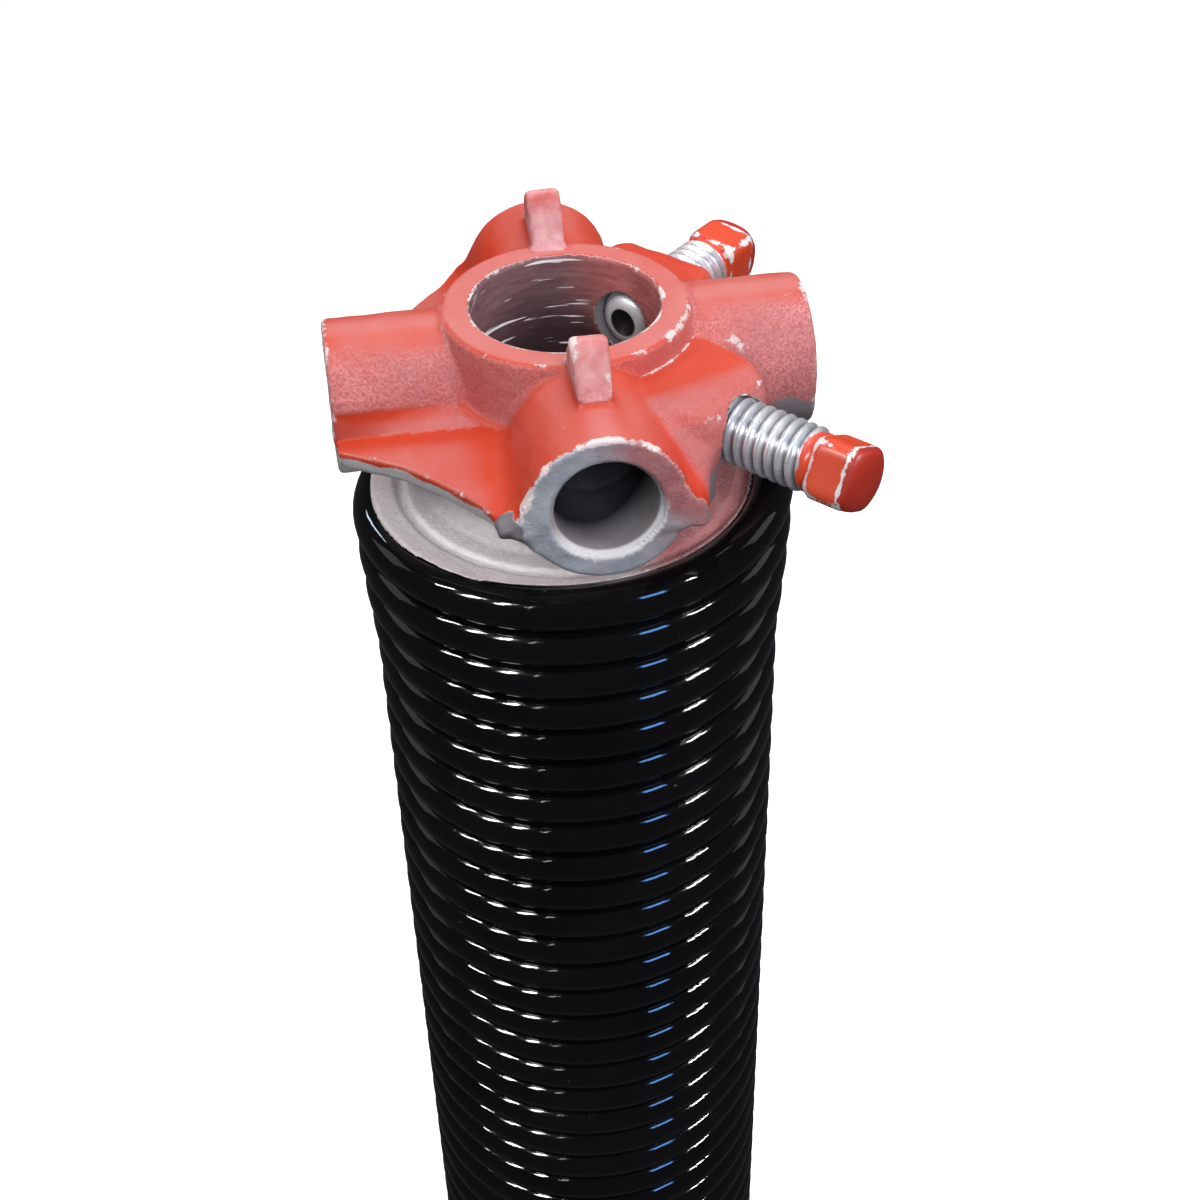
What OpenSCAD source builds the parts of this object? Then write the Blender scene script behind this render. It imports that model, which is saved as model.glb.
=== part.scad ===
// Garage door torsion spring with its two cast cones and two set screws.
// Millimetres, +Z up along the shaft line. The origin is on the shaft line at
// the mounting face of the stationary cone, so the spring stands on that face.

/* [Spring] */
// Diameter of the spring wire
wire_d = 6.35; // [6.2:0.05:6.4]
// Inside diameter of the free coils
coil_id = 50.8; // [50.8:0.1:51.4]
// Number of turns of wire
turns = 93; // [10:1:95]
// Rise of the wire in one turn
pitch = 6.5; // [6.45:0.01:6.6]
// How much the end coils grow in radius where they are threaded on the cones
flare = 1.5; // [1.3:0.1:1.6]
// Length of each end over which the coils grow
flare_len = 28; // [24:1:30]
// Direction in which both wire ends stop, in degrees from +X
end_az = 80; // [70:1:90]

/* [Winding cone] */
// Diameter of the shaft bore
bore_d = 26.72; // [26:0.02:27]
// Outside diameter of the hub at its top
hub_d = 35.2; // [34.6:0.1:36]
// Diameter of the flange that covers the end coil
flange_d = 60.4; // [60:0.1:60.8]
// Depth of the flange's top face below the hub's top
flange_drop = 28.5; // [28.3:0.1:28.7]
// Outside diameter of each winding bar socket
socket_d = 22; // [21:0.1:22.4]
// Diameter of each winding bar hole
socket_hole_d = 14.1; // [13.5:0.1:14.4]
// Depth of the socket holes' axes below the hub's top
socket_drop = 11.5; // [11.3:0.1:11.8]
// Radius at which the left and right sockets end
socket_reach = 34.3; // [33.5:0.1:35]
// Thickness of the two cast ribs on the front and back sockets
rib_t = 5.2; // [4:0.1:6]
// Length of the tapered body inside the coils, below the flange
body_len = 31.5; // [28:0.5:34]

/* [Set screws] */
// Diameter of the set screws' thread
screw_d = 9.4; // [9.3:0.05:9.45]
// Width across the flats of the square heads
head_af = 8.7; // [8.2:0.1:9.6]
// Direction of the front screw, in degrees from +X
front_az = -48; // [-50:0.5:-46]
// Direction of the rear screw, in degrees from +X
rear_az = 43; // [42:0.5:46]
// Depth of the screws' axes below the hub's top
screw_drop = 9.8; // [9.5:0.1:10]
// Radius at which the rear screw's point stands
tip_r = 13.16; // [13.14:0.01:13.3]
// Length of each screw from its point to the underside of its head
shank_len = 21.8; // [20:0.1:22]
// How far the front screw is backed out compared with the rear one
front_out = 8.5; // [6:0.1:9]

/* [Stationary cone] */
// Thickness of the bolting flange
base_t = 6; // [5:0.5:8]
// Distance between the two bolt holes
bolt_span = 85.7; // [84:0.1:88]
// Diameter of the bolt holes
bolt_d = 10.4; // [10:0.1:11]
// Diameter of the flange's round middle
base_d = 72; // [70:1:74]
// Outside diameter of the bolt ears
ear_d = 23; // [21:0.5:25]
// Height of the tapered body inside the coils, from the mounting face
base_body_h = 38; // [34:0.5:40]

/* [Hidden] */
$fn = 96;

rw = wire_d/2;                      // wire radius
rc = coil_id/2 + rw;                // mean radius of the free coils
halves = 2*turns;                   // the helix is built from half turns
z_first = base_t + rw + 0.325;      // wire centre where it starts
z_last = z_first + turns*pitch;     // wire centre where it stops
hub_top = z_last + 28.17;           // height of the hub's top face
joint_gap = 0.25;                   // degrees left at each half turn's end
wire_gap = 0.15;                    // room between the wire and the cones

// The end coils grow smoothly from the free radius to the cone's radius.
function grow(d) = d >= flare_len ? 0 : cos(90*d/flare_len);
function coil_r(z) = rc + flare*(grow(z - z_first) + grow(z_last - z));

// One half turn of tube number i, radius r, running anticlockwise and up.
module half_turn(i, r, gap) {
  z1 = z_first + i*pitch/2;
  r1 = coil_r(z1);
  r2 = coil_r(z1 + pitch/2);
  rm = (r1 + r2)/2;
  tilt = atan(pitch/2/(2*rm));
  s = i % 2 == 0 ? 1 : -1;
  translate([s*(r1 - r2)/2, 0, z1 + pitch/4])
    rotate([0, s*tilt, 0])
      rotate([0, 0, 180*i + gap])
        rotate_extrude(angle = 180 - 2*gap, $fn = 48)
          translate([rm/cos(tilt), 0]) circle(r = r, $fn = 24);
}

// A short collar closes the small gap between two half turns.
module half_turn_joint(i) {
  z1 = z_first + i*pitch/2;
  s = i % 2 == 0 ? 1 : -1;
  translate([s*coil_r(z1), 0, z1])
    rotate([90, 0, 0]) cylinder(r = rw + 0.03, h = 0.8, center = true, $fn = 24);
}

module spring() {
  color("#141416")
    rotate([0, 0, end_az]) {
      for (i = [0:halves - 1]) half_turn(i, rw, joint_gap);
      for (i = [1:halves - 1]) half_turn_joint(i);
    }
}

// Room for the end coil that the flange sits over and beside.
module end_coil_room() {
  rotate([0, 0, end_az]) {
    for (i = [halves - 2:halves - 1]) half_turn(i, rw + wire_gap, 0);
    translate([coil_r(z_last), 0.5, z_last])
      rotate([90, 0, 0]) cylinder(r = rw + wire_gap, h = 2.4, center = true, $fn = 24);
  }
}

// Solid of revolution: hub, neck, flange with its rings, and tapered body.
module cone_turning() {
  f = -flange_drop;
  hr = hub_d/2;
  fr = flange_d/2;
  r_up = rc + flare*0.94 - rw - 0.5;
  r_low = rc - rw - 0.5;
  low = f - body_len;
  rotate_extrude()
    polygon([
      [0, 0], [hr - 0.8, 0], [hr, -0.8], [hr + 0.8, -3.5], [hr + 1.1, -20],
      [hr + 1.9, f + 2.6], [hr + 4.4, f],
      [fr - 5.4, f], [fr - 5, f - 0.5], [fr - 4, f - 0.5], [fr - 3.4, f + 0.1],
      [fr - 0.4, f + 0.1], [fr, f - 0.3], [fr, f - 2.3], [fr - 0.4, f - 2.7],
      [r_up, f - 3.2], [r_low, low + 1.6], [r_low - 1.6, low], [0, low]
    ]);
}

// One winding bar socket along +X, with softened end edges.
module socket(reach) {
  r = socket_d/2;
  translate([0, 0, -socket_drop]) rotate([0, 90, 0]) {
    cylinder(r = r, h = reach - 0.7);
    translate([0, 0, reach - 0.7]) cylinder(r1 = r, r2 = r - 0.7, h = 0.7);
  }
}

module socket_hole(reach) {
  r = socket_hole_d/2;
  translate([19.5, 0, -socket_drop]) rotate([0, 90, 0]) {
    cylinder(r = r, h = reach);
    translate([0, 0, reach - 20.1]) cylinder(r1 = r, r2 = r + 1.2, h = 1.2);
  }
}

// Cast rib standing along the top of a socket, in the XZ plane.
module rib() {
  translate([0, rib_t/2, 0]) rotate([90, 0, 0])
    linear_extrude(rib_t)
      polygon([[15, -4], [15, 0], [20, 6.1], [21, 6.7], [22, 6.5], [22.9, 5.8], [27.5, -0.5], [27.5, -4]]);
}

// Cast web between the left socket and the front one.
module web() {
  translate([0, 0, -15.5]) linear_extrude(7)
    polygon([[-33.4, -8], [-33.4, -11.2], [-28.4, -14], [-24.6, -18], [-20.9, -22],
             [-17.3, -27.2], [-14.4, -32.2], [-9, -33.2], [-7, -18], [-18, -7]]);
}

// Cast boss that holds a set screw, between the right socket and its neighbour.
module screw_boss(az, far) {
  rotate([0, 0, az]) {
    translate([0, 0, -15.7]) linear_extrude(12.2)
      polygon([[8, -9.5], [8, 8.5], [16, 9.5], [far - 4.8, 8.2], [far - 3.5, 7],
               [far - 3.5, -7.6], [far - 4.8, -9.2], [16, -10]]);
    translate([0, 0, -14.4]) linear_extrude(9.4)
      polygon([[20, -8], [20, 8], [far - 1.4, 7.4], [far, 6.2], [far, -6.8], [far - 1.4, -7.8]]);
  }
}

module winding_cone() {
  color("#c8402c")
    translate([0, 0, hub_top]) difference() {
      union() {
        cone_turning();
        rotate([0, 0, -90]) { socket(35); rib(); }
        rotate([0, 0, 90]) { socket(33); rib(); }
        rotate([0, 0, 180]) socket(socket_reach);
        socket(socket_reach);
        web();
        mirror([0, 1, 0]) web();
        screw_boss(front_az, 31);
        screw_boss(rear_az, 28.4);
      }
      translate([0, 0, -flange_drop - body_len - 1])
        cylinder(d = bore_d, h = flange_drop + body_len + 2);
      rotate([0, 0, -90]) socket_hole(35);
      rotate([0, 0, 90]) socket_hole(33);
      rotate([0, 0, 180]) socket_hole(socket_reach);
      socket_hole(socket_reach);
      for (az = [front_az, rear_az])
        rotate([0, 0, az]) translate([8, 0, -screw_drop])
          rotate([0, 90, 0]) cylinder(d = screw_d + 0.12, h = 24);
      translate([0, 0, -hub_top]) end_coil_room();
    }
}

// Square-head set screw along +X: cup point, plain thread cylinder, crowned head.
module set_screw(az, turn, out) {
  r = screw_d/2;
  h0 = shank_len;
  color("#b9bcc0")
    translate([0, 0, hub_top]) rotate([0, 0, az]) translate([tip_r + out, 0, -screw_drop])
      rotate([0, 90, 0]) rotate([0, 0, turn]) difference() {
        union() {
          cylinder(r1 = r - 1.3, r2 = r, h = 1.3);
          translate([0, 0, 1.3]) cylinder(r = r, h = h0 - 2.3);
          translate([0, 0, h0 - 1]) cylinder(r = r - 0.4, h = 1.5);
          intersection() {
            translate([-head_af/2, -head_af/2, h0]) cube([head_af, head_af, 7.8]);
            union() {
              translate([0, 0, h0]) cylinder(r1 = head_af*0.54, r2 = head_af*0.63, h = 0.8);
              translate([0, 0, h0 + 0.8]) cylinder(r = head_af*0.63, h = 5.6);
              translate([0, 0, h0 + 6.4]) cylinder(r1 = head_af*0.63, r2 = head_af*0.45, h = 1.4);
            }
          }
        }
        translate([0, 0, -0.1]) cylinder(r1 = 2.1, r2 = 0.6, h = 1.6);
      }
}

module set_screw_front() { set_screw(front_az, -26, front_out); }

module set_screw_rear() { set_screw(rear_az, 6, 0); }

// Lower cone: bolting flange with two ears, tapered body inside the coils, plain bore.
module stationary_cone() {
  r_base = rc + flare*0.9 - rw - 0.5;
  r_top = rc - rw - 0.5;
  color("#b4b5b6")
    difference() {
      union() {
        linear_extrude(base_t) {
          circle(d = base_d);
          for (s = [-1, 1]) translate([s*bolt_span/2, 0]) circle(d = ear_d);
          polygon([[-bolt_span/2 - 2, ear_d/2 - 0.2], [-16, 32.2], [16, 32.2], [bolt_span/2 + 2, ear_d/2 - 0.2],
                   [bolt_span/2 + 2, 0.2 - ear_d/2], [16, -32.2], [-16, -32.2], [-bolt_span/2 - 2, 0.2 - ear_d/2]]);
        }
        rotate_extrude()
          polygon([[0, 0], [r_base, 0], [r_base, base_t + 1], [r_top, base_body_h - 1.6],
                   [r_top - 1.6, base_body_h], [0, base_body_h]]);
      }
      translate([0, 0, -1]) cylinder(d = bore_d, h = base_body_h + 2);
      for (s = [-1, 1]) translate([s*bolt_span/2, 0, -1]) cylinder(d = bolt_d, h = base_t + 2);
    }
}

spring();
winding_cone();
set_screw_front();
set_screw_rear();
stationary_cone();
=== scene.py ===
import math

import bpy
import numpy as np
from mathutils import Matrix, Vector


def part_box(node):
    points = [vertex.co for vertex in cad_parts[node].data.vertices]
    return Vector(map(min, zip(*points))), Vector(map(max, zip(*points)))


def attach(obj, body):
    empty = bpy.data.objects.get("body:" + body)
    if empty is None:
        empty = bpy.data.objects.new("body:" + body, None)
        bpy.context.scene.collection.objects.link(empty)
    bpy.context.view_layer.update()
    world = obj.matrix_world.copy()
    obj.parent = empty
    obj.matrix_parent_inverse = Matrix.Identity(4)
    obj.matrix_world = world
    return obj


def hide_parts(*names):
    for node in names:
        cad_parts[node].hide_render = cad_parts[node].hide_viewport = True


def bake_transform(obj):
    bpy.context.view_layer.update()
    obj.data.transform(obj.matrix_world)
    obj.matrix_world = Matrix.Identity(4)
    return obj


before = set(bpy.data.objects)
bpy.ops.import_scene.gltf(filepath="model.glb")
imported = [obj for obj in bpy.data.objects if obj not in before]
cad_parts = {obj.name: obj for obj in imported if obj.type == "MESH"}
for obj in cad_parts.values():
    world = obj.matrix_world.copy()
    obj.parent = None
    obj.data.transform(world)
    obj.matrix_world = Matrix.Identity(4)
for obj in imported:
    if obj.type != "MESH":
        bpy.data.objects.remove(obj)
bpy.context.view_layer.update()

import openvdb as vdb
from mathutils import Matrix, Vector


MM = 0.001
# The ribs stand 6.7 mm above the hub's top face.
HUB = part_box("winding_cone")[1].z / MM - 6.7

# Sizes in millimetres, as in the CAD model
WIRE_R, COIL_R, PITCH, TURNS = 3.175, 28.575, 6.5, 93
Z_FIRST = 9.5
Z_LAST = Z_FIRST + TURNS * PITCH
FLARE, FLARE_LEN, END_AZ = 1.5, 28.0, 80.0
BORE_R, SOCK_R, HOLE_R, SOCK_Z = 13.36, 11.0, 7.05, -11.5
REACH = {"front": 35.0, "back": 33.0, "left": 34.3, "right": 34.3}
FLANGE_Z, FLANGE_R = -28.5, 30.2
FRONT_AZ, REAR_AZ, SCREW_Z = -48.0, 43.0, -9.8

scene = bpy.context.scene
f32 = np.float32


# ---------------------------------------------------------------- small maths
def smin(a, b, k):
    h = np.clip(0.5 + 0.5 * (b - a) / k, 0, 1)
    return b * (1 - h) + a * h - k * h * (1 - h)


def smax(a, b, k):
    return -smin(-a, -b, k)


def step(a, b, x):
    t = np.clip((x - a) / (b - a), 0, 1)
    return t * t * (3 - 2 * t)


_rng = np.random.RandomState(7)
_dirs = _rng.normal(size=(40, 3))
_dirs /= np.linalg.norm(_dirs, axis=1)[:, None]
_ph = _rng.uniform(0, 2 * np.pi, 40)


def waves(X, Y, Z, wavelength, first, count=8):
    """A smooth lumpy field of about -1 to 1 with lumps of the given size."""
    out = 0
    for i in range(first, first + count):
        k = 2 * np.pi / wavelength * (0.75 + 0.5 * ((i * 7) % 5) / 4)
        d = _dirs[i % 40] * k
        out = out + np.sin(f32(d[0]) * X + f32(d[1]) * Y + f32(d[2]) * Z + f32(_ph[i % 40]))
    return out / count * 1.6


class Table:
    """Signed distance to a polygon on a fine lattice, its corners softened by a small blur, read by linear interpolation."""

    def __init__(self, pts, low, high, soft, h=0.1):
        self.low, self.h = np.array(low, float), h
        nu = int((high[0] - low[0]) / h) + 1
        nv = int((high[1] - low[1]) / h) + 1
        U, V = np.meshgrid(low[0] + h * np.arange(nu), low[1] + h * np.arange(nv), indexing="ij")
        d = np.full(U.shape, 1e9)
        inside = np.zeros(U.shape, bool)
        n = len(pts)
        for i in range(n):
            (ax, ay), (bx, by) = pts[i], pts[(i + 1) % n]
            ex, ey = bx - ax, by - ay
            wx, wy = U - ax, V - ay
            t = np.clip((wx * ex + wy * ey) / (ex * ex + ey * ey), 0, 1)
            d = np.minimum(d, (wx - ex * t) ** 2 + (wy - ey * t) ** 2)
            cross = ((ay <= V) & (by > V)) | ((by <= V) & (ay > V))
            if abs(ey) > 1e-12:
                inside ^= cross & (U < ax + (V - ay) * ex / ey)
        d = np.sqrt(d) * np.where(inside, -1, 1)
        m = int(round(soft / h))
        for axis in (0, 1):
            for _ in range(2):
                if m > 0:
                    pad = [(0, 0), (0, 0)]
                    pad[axis] = (m, m)
                    p = np.pad(d, pad, mode="edge")
                    c = np.cumsum(p, axis=axis)
                    zero = np.zeros_like(np.take(c, [0], axis=axis))
                    c = np.concatenate([zero, c], axis=axis)
                    w = 2 * m + 1
                    size = d.shape[axis]
                    a = np.take(c, np.arange(w, w + size), axis=axis)
                    b = np.take(c, np.arange(0, size), axis=axis)
                    d = (a - b) / w
        self.d = d.astype(f32)

    def __call__(self, U, V):
        d = self.d
        u = (U - self.low[0]) / self.h
        v = (V - self.low[1]) / self.h
        i = np.clip(u.astype(np.int32), 0, d.shape[0] - 2)
        j = np.clip(v.astype(np.int32), 0, d.shape[1] - 2)
        fu = np.clip(u - i, 0, 1).astype(f32)
        fv = np.clip(v - j, 0, 1).astype(f32)
        got = (d[i, j] * (1 - fu) + d[i + 1, j] * fu) * (1 - fv) + (d[i, j + 1] * (1 - fu) + d[i + 1, j + 1] * fu) * fv
        over = np.maximum(np.maximum(u - (d.shape[0] - 1), v - (d.shape[1] - 1)), np.maximum(-u, -v))
        return got + np.maximum(over, 0).astype(f32) * self.h


def gradient(fn, P, e=0.12):
    g = np.zeros_like(P)
    for k in range(3):
        a, b = P.copy(), P.copy()
        a[:, k] += e
        b[:, k] -= e
        g[:, k] = (fn(a[:, 0], a[:, 1], a[:, 2]) - fn(b[:, 0], b[:, 1], b[:, 2])) / (2 * e)
    return g


def mesh_object(name, points, faces, smooth=True):
    me = bpy.data.meshes.new(name)
    me.from_pydata([tuple(p) for p in points], [], [tuple(f) for f in faces]) if len(points) < 2000 else fast_mesh(me, points, faces)
    me.polygons.foreach_set("use_smooth", [smooth] * len(me.polygons))
    me.update()
    ob = bpy.data.objects.new(name, me)
    scene.collection.objects.link(ob)
    return ob


def fast_mesh(me, points, faces):
    faces = np.asarray(faces, np.int32)
    n = faces.shape[1]
    me.vertices.add(len(points))
    me.vertices.foreach_set("co", np.asarray(points, f32).ravel())
    me.loops.add(faces.size)
    me.loops.foreach_set("vertex_index", faces.ravel())
    me.polygons.add(len(faces))
    me.polygons.foreach_set("loop_start", np.arange(0, faces.size, n, dtype=np.int32))
    me.update(calc_edges=True)
    me.validate()


def shape_mesh(name, fn, low, high, h, most, offset):
    """A mesh of the surface where fn is zero: sampled on a lattice, thinned, and drawn back on to the exact surface."""
    axes = [np.arange(low[i], high[i] + h, h, dtype=f32) for i in range(3)]
    d = np.empty([len(a) for a in axes], f32)
    part = 24
    for i in range(0, len(axes[0]), part):
        X, Y, Z = np.meshgrid(axes[0][i:i + part], axes[1], axes[2], indexing="ij")
        d[i:i + part] = fn(X, Y, Z)
    grid = vdb.FloatGrid(3.0)
    grid.copyFromArray(np.clip(d / h, -3, 3).astype(f32))
    p, q = grid.convertToQuads(isovalue=0.0)
    p = np.array(low) + np.asarray(p, float) * h
    q = np.asarray(q)
    ob = mesh_object(name, p, q)
    tris = 2 * len(q)
    if tris > most:
        mod = ob.modifiers.new("thin", "DECIMATE")
        mod.ratio = most / tris
        mod.use_collapse_triangulate = True
        bpy.context.view_layer.update()
        dg = bpy.context.evaluated_depsgraph_get()
        thin = bpy.data.meshes.new_from_object(ob.evaluated_get(dg))
        ob.modifiers.clear()
        old = ob.data
        ob.data = thin
        bpy.data.meshes.remove(old)
    me = ob.data
    n = len(me.vertices)
    co = np.empty(n * 3)
    me.vertices.foreach_get("co", co)
    P = co.reshape(-1, 3)
    for _ in range(3):
        g = gradient(fn, P)
        v = fn(P[:, 0], P[:, 1], P[:, 2])
        s = (g * g).sum(1)
        move = -(v / np.maximum(s, 0.25))[:, None] * g
        size = np.linalg.norm(move, axis=1)
        move *= np.minimum(1, 0.25 / np.maximum(size, 1e-9))[:, None]
        P = P + move
    g = gradient(fn, P, 0.1)
    N = g / np.maximum(np.linalg.norm(g, axis=1), 1e-9)[:, None]
    out = (P + np.array(offset)) * MM
    me.vertices.foreach_set("co", out.ravel())
    me.polygons.foreach_set("use_smooth", [True] * len(me.polygons))
    me.update()
    me.normals_split_custom_set_from_vertices(N.tolist())
    me.name = name
    return ob, P, N


def put(ob, name, values):
    a = ob.data.attributes.new(name, "FLOAT", "POINT")
    a.data.foreach_set("value", np.clip(values, 0, 1).astype(f32))


# ---------------------------------------------------------------- winding cone
PROFILE = Table([
    (-6, 0), (17.2, 0), (17.75, -0.5), (18.3, -3.6), (18.7, -9), (19.0, -18), (19.4, -24.6), (20.6, -27.2), (22.3, -28.3),
    (24.7, -28.5), (25.2, -29.1), (26.2, -29.1), (26.8, -28.4), (29.9, -28.4), (30.2, -28.8), (30.2, -30.8), (29.8, -31.2),
    (25.9, -31.7), (24.9, -58.4), (23.3, -60), (-6, -60)], (-6, -66), (46, 12), 0.2)
RIB = Table([(13, -6), (15.2, 0.1), (16.3, 1.2), (20.2, 6.2), (21.0, 6.75), (22.3, 6.5), (23.2, 5.6), (27.6, -0.8), (28.4, -3.5), (27, -6)],
            (8, -12), (36, 12), 0.35)
BOSS = Table([(6, -3.5), (24.6, -3.5), (27.4, -3.8), (29.6, -4.8), (30.9, -6.6), (31.1, -9.2), (30.4, -12.4), (28.4, -14.8), (25, -17), (6, -19.5)],
             (0, -28), (42, 6), 0.4)
REAR_BOSS = Table([(6, -3.5), (23.6, -3.5), (25.4, -4.0), (27.1, -5.8), (28.2, -8.4), (28.2, -13), (27.2, -15.2), (25, -17), (6, -19)],
                  (0, -28), (42, 6), 0.4)
SKIRT = Table([(4, -35.0), (12.3, -35.0), (13.6, -34.2), (14.6, -30), (16.2, -26.8), (14, -18), (4, -18)], (-4, -44), (26, -8), 0.4)
WEB = Table([(-34.3, 6), (-34.3, 13.3), (-30.6, 15.6), (-26, 18.5), (-20.9, 23.7), (-16.1, 29.9), (-14.4, 33.2), (-12.8, 34.2), (-4, 33.6), (-2, 6)],
            (-46, -4), (8, 46), 0.5)


def wire_radius(z):
    """Radius of the coil's centre line at height z above the mounting face."""
    def grow(t):
        return np.where(t >= FLARE_LEN, 0, np.cos(np.radians(90 * np.clip(t, 0, FLARE_LEN) / FLARE_LEN)))
    return COIL_R + FLARE * (grow(z - Z_FIRST) + grow(Z_LAST - z))


def cast_part(X, Y, Z):
    """The casting before its holes are cut."""
    A = np.abs(Y)
    R = np.sqrt(X * X + Y * Y)
    d = PROFILE(R, Z)
    dz = Z - SOCK_Z
    below = np.maximum(-dz - 3, 0)
    for U, V, reach in ((-Y, X, REACH["front"]), (Y, X, REACH["back"]), (-X, Y, REACH["left"]), (X, Y, REACH["right"])):
        rho = np.sqrt(V * V + dz * dz)
        out = 0.1 * below if U is X else 0.0
        s = smax(smax(rho - SOCK_R, U - reach - out, 1.0), 13.0 - U, 1.0)
        d = smin(d, s, 0.8 + 0.3 * below)
    # webs on the left, with a shoulder beside the socket
    s = -0.698 * X + 0.716 * A
    top = -9.7 - 0.2 * (s - 20)
    y2 = np.interp(X, [-36, -34, -30, -22.5, -14, -8], [10.7, 10.9, 11.6, 13.1, 14.6, 15.4]).astype(f32)
    z2 = -9.7 - 0.2 * (-0.698 * X + 0.716 * y2 - 20)
    t = np.clip((A - 10.4) / (y2 - 10.4), -0.5, 3)
    shoulder = -8.3 + (z2 + 8.3) * t
    top = smax(top, shoulder, 0.5)
    plan = WEB(X, A) + 0.28 * np.maximum(-12.4 - Z, 0) + 0.2 * np.maximum(Z + 12.0, 0)
    web = smax((Z - top) * 0.86, plan, 1.0)
    web = smax(web, -15.8 - Z, 1.6)
    web = np.maximum(web, X + 4)
    k = 0.5 + 3.6 * step(13.5, 24, A) * step(-26, -16, X)
    d = smin(d, web, k)
    # bosses on the right for the set screws
    for az in (FRONT_AZ, REAR_AZ):
        c, n = math.cos(math.radians(az)), math.sin(math.radians(az))
        U, V = X * c + Y * n, -X * n + Y * c
        far = 0 if az < 0 else 2.7
        wide = np.interp(U + far * step(14, 24, U), [8, 16, 22, 26, 29, 32], [9.6, 10.2, 9.6, 8.9, 7.9, 6.2]).astype(f32)
        V = V if az < 0 else -V
        b = smax(BOSS(U, Z) if az < 0 else REAR_BOSS(U, Z), np.abs(V + 0.5) - wide, 2.2)
        d = smin(d, b, 0.9 + 0.7 * np.clip(-8 - Z, 0, 4))
    # a skirt between the front socket and the boss beside it, out to the socket's end face
    t = step(-35.5, -25, Y)
    skirt = smax(SKIRT(X, Y), (Z - (-9.6 + 5.2 * t - 0.55 * np.maximum(X - 10, 0))) * 0.85, 1.6)
    skirt = smax(skirt, -15.2 - Z - 0.35 * np.maximum(X - 9, 0), 1.4)
    d = smin(d, skirt, 1.6)
    # the two ribs
    for U, reach in ((-Y, 35), (Y, 33)):
        r = smax(np.abs(X) - 2.38 - 0.045 * np.clip(Z, 0, 6), RIB(U, Z), 1.1)
        d = smin(d, r, 0.7)
    # a lump of flash at the front socket's left
    nub = (np.sqrt(((X + 12.4) / 2.5) ** 2 + ((Y + 34.0) / 1.5) ** 2 + ((Z + 13.2) / 1.5) ** 2) - 1) * 1.5
    d = smin(d, nub + 0.25 * waves(X, Y, Z, 2.2, 9, 5), 1.2)
    lumps = 0.05 * waves(X, Y, Z, 5.5, 0, 7) + 0.035 * waves(X, Y, Z, 2.4, 12, 7)
    return d + lumps * step(0.3, 1.6, np.abs(Z))


def winding_cone(X, Y, Z):
    d = cast_part(X, Y, Z)
    R = np.sqrt(X * X + Y * Y)
    d = smax(d, BORE_R - R + 0.5 * np.clip(Z + 0.7, 0, 1), 0.25)
    dz = Z - SOCK_Z
    for U, V, reach in ((-Y, X, REACH["front"]), (Y, X, REACH["back"]), (-X, Y, REACH["left"]), (X, Y, REACH["right"])):
        rho = np.sqrt(V * V + dz * dz)
        mouth = HOLE_R + 0.7 * np.clip(U - (reach - 0.8), 0, 1.5)
        hole = smax(rho - mouth, 19.5 - U, 0.8)
        d = smax(d, -hole, 0.35)
    for az in (FRONT_AZ, REAR_AZ):
        c, n = math.cos(math.radians(az)), math.sin(math.radians(az))
        U, V = X * c + Y * n, -X * n + Y * c
        rho = np.sqrt(V * V + (Z - SCREW_Z) ** 2)
        end = 30.4 if az < 0 else 27.6
        d = smax(d, -np.maximum(rho - 4.8 - 0.5 * np.clip(U - end, 0, 1), 8 - U), 0.25)
    # room for the end coil beside and under the flange
    theta = np.degrees(np.arctan2(Y, X))
    back = np.mod(END_AZ - theta, 360)
    for turn in (0, 1):
        zw = Z_LAST - HUB - PITCH * (back / 360 + turn)
        rw = wire_radius(zw + HUB)
        tube = np.sqrt((R - rw) ** 2 + (Z - zw) ** 2) - (WIRE_R + 0.14)
        if turn == 0:
            # the wire ends here; leave a little room past it
            past = np.where(back > 350, np.sqrt((R - 30.07) ** 2 + (Z - (Z_LAST - HUB)) ** 2) - (WIRE_R + 0.14), 1e3)
            past = np.maximum(past, (360 - back) / 57.3 * 30 - 1.5)
            tube = np.minimum(tube, past)
        d = smax(d, -tube, 0.15)
    return d.astype(f32) if isinstance(d, np.ndarray) and d.dtype != np.float64 else d


cone, P, N = shape_mesh("winding_cone_casting", winding_cone, (-36.6, -37.2, -61.2), (36.6, 36, 8), 0.43, 192000, (0, 0, HUB))


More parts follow.
